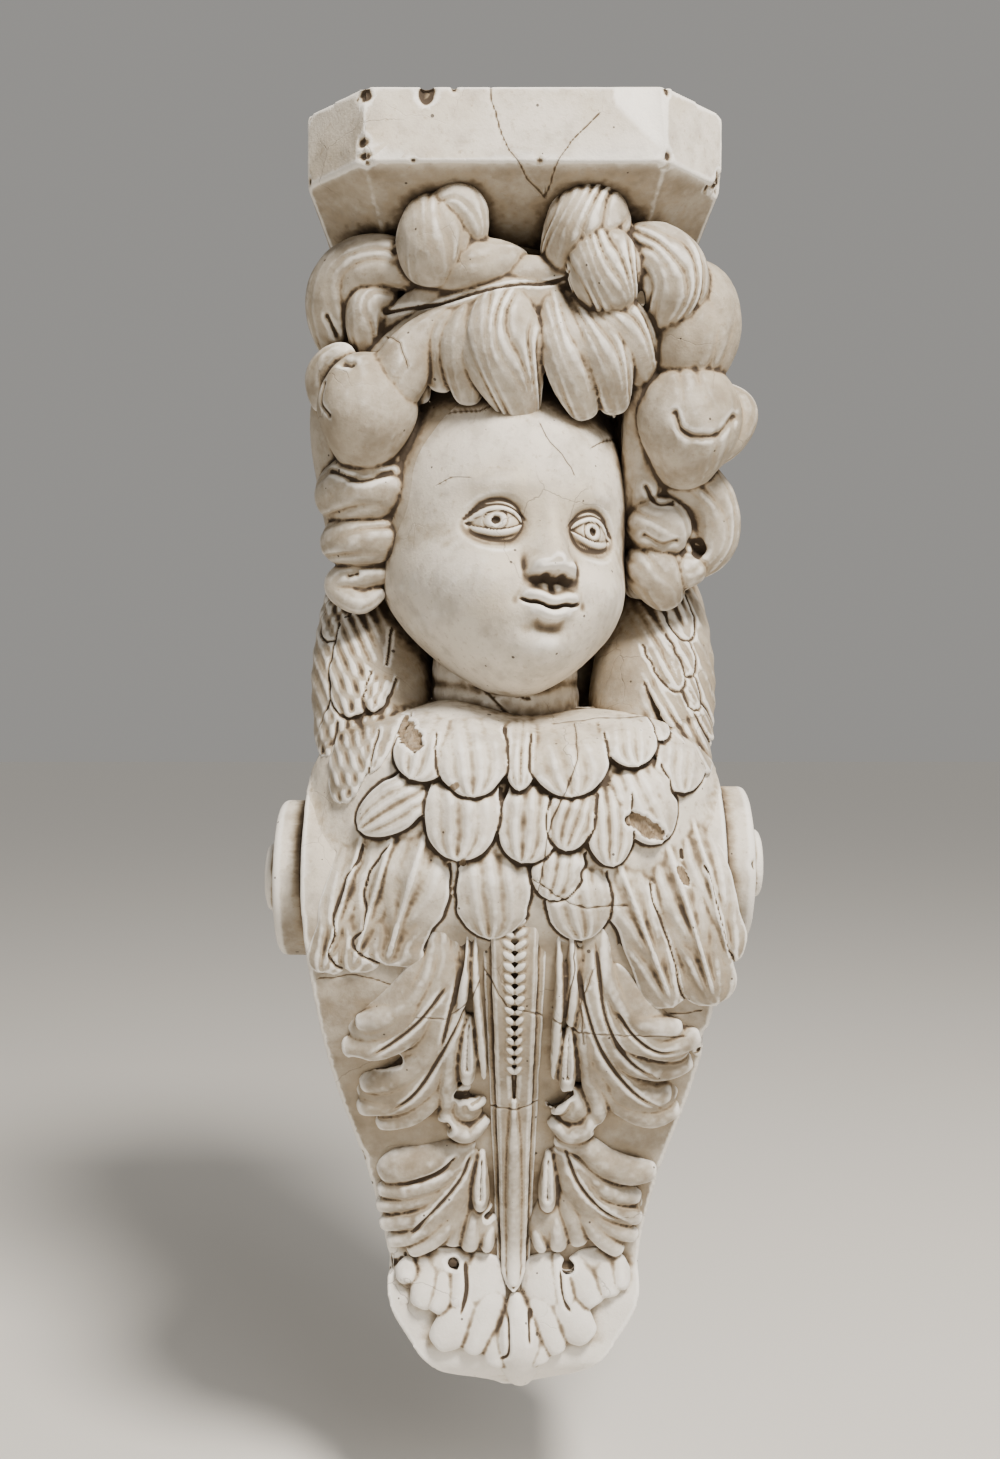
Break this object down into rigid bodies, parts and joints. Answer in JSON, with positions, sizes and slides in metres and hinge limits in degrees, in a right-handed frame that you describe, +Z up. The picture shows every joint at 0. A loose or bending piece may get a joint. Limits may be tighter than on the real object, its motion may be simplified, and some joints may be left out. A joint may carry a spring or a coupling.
{
  "type": "wall corbel with a winged child's head",
  "caption": "Scrolled wall bracket: a winged child's head on a feathered breast and leaf-carved console, under a small chamfered shelf.",
  "frame": {"origin": "on the flat back that meets the wall, on the centre line, half way up the corbel", "axes": "+Z up, +Y into the wall, so that the face looks along -Y, and +X to the right of a viewer who faces the corbel"},
  "size_m": [0.272, 0.185, 0.69],
  "materials": {
    "painted_plaster": "aged cream distemper over cast fibrous plaster, matt, with dirt in the hollows, fine cracks, air-bubble pinholes and a few brown breaks"
  },
  "bodies": {
    "root": {"corbel": "painted_plaster"}
  },
  "joints": []
}
